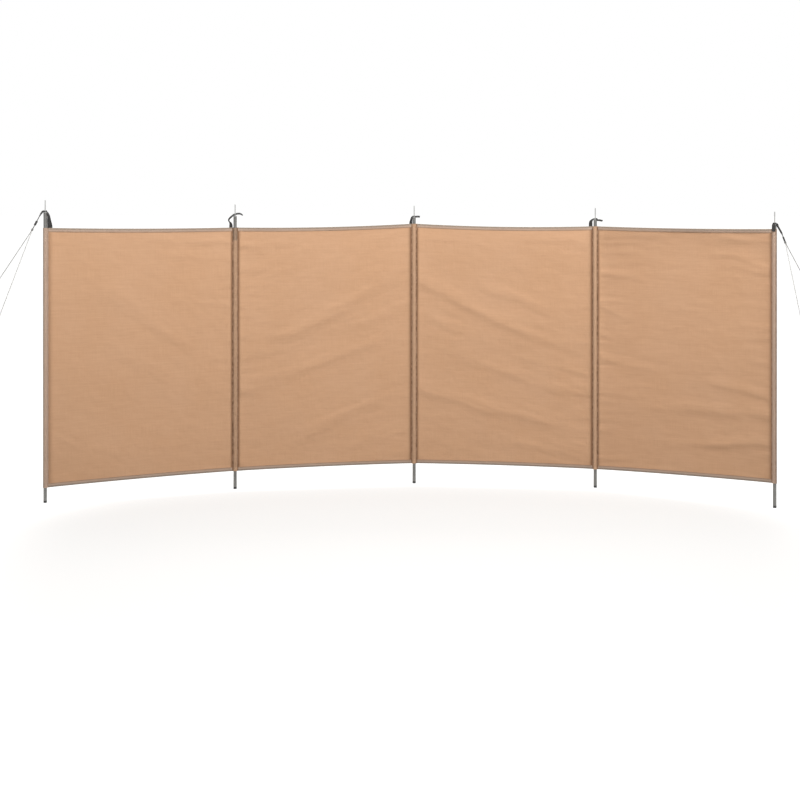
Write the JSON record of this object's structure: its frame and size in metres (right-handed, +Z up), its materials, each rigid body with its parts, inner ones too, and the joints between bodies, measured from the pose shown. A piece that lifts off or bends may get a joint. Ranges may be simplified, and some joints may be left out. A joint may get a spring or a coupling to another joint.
{
  "type": "beach windbreak",
  "caption": "Curved row of cloth bays held upright by slim steel posts in sewn sleeves, with taut guys and ground pegs at both ends; shelters a place on the beach from wind.",
  "frame": {"origin": "middle of the foot face of the middle post, on the ground", "axes": "+Z up, +X to the right seen from the hollow side, which looks along -Y"},
  "size_m": [6.1317, 1.9297, 1.6572],
  "materials": {
    "post_steel": "satin grey steel tube",
    "plug_plastic": "dark moulded plastic",
    "pin_steel": "bright zinc-plated steel",
    "windbreak_cloth": "plain weave, warm tan",
    "edge_binding": "woven tape, greyish beige",
    "webbing": "dark woven webbing",
    "guy_lead": "dark braided cord",
    "guy_rope": "pale twisted rope",
    "runner_plastic": "dark moulded plastic",
    "peg_steel": "zinc-plated steel rod"
  },
  "bodies": {
    "root": {"bottom_hem_1": "edge_binding", "bottom_hem_2": "edge_binding", "bottom_hem_3": "edge_binding", "bottom_hem_4": "edge_binding", "cloth_panel_1": "windbreak_cloth", "cloth_panel_2": "windbreak_cloth", "cloth_panel_3": "windbreak_cloth", "cloth_panel_4": "windbreak_cloth", "foot_plug_1": "plug_plastic", "foot_plug_2": "plug_plastic", "foot_plug_3": "plug_plastic", "foot_plug_4": "plug_plastic", "foot_plug_5": "plug_plastic", "guy_knot_left": "guy_lead", "guy_knot_right": "guy_lead", "guy_lead_left": "guy_lead", "guy_lead_right": "guy_lead", "guy_left_back": "guy_rope", "guy_left_front": "guy_rope", "guy_loop_left": "webbing", "guy_loop_right": "webbing", "guy_right_back": "guy_rope", "guy_right_front": "guy_rope", "peg_left_back": "peg_steel", "peg_left_front": "peg_steel", "peg_right_back": "peg_steel", "peg_right_front": "peg_steel", "post_1": "post_steel", "post_2": "post_steel", "post_3": "post_steel", "post_4": "post_steel", "post_5": "post_steel", "runner_left": "runner_plastic", "runner_right": "runner_plastic", "sleeve_1": "windbreak_cloth", "sleeve_2": "windbreak_cloth", "sleeve_3": "windbreak_cloth", "sleeve_4": "windbreak_cloth", "sleeve_5": "windbreak_cloth", "top_hem_1": "edge_binding", "top_hem_2": "edge_binding", "top_hem_3": "edge_binding", "top_hem_4": "edge_binding", "top_pin_1": "pin_steel", "top_pin_2": "pin_steel", "top_pin_3": "pin_steel", "top_pin_4": "pin_steel", "top_pin_5": "pin_steel", "top_strap_1": "webbing", "top_strap_2": "webbing", "top_strap_3": "webbing", "top_strap_4": "webbing", "top_strap_5": "webbing"}
  },
  "joints": []
}
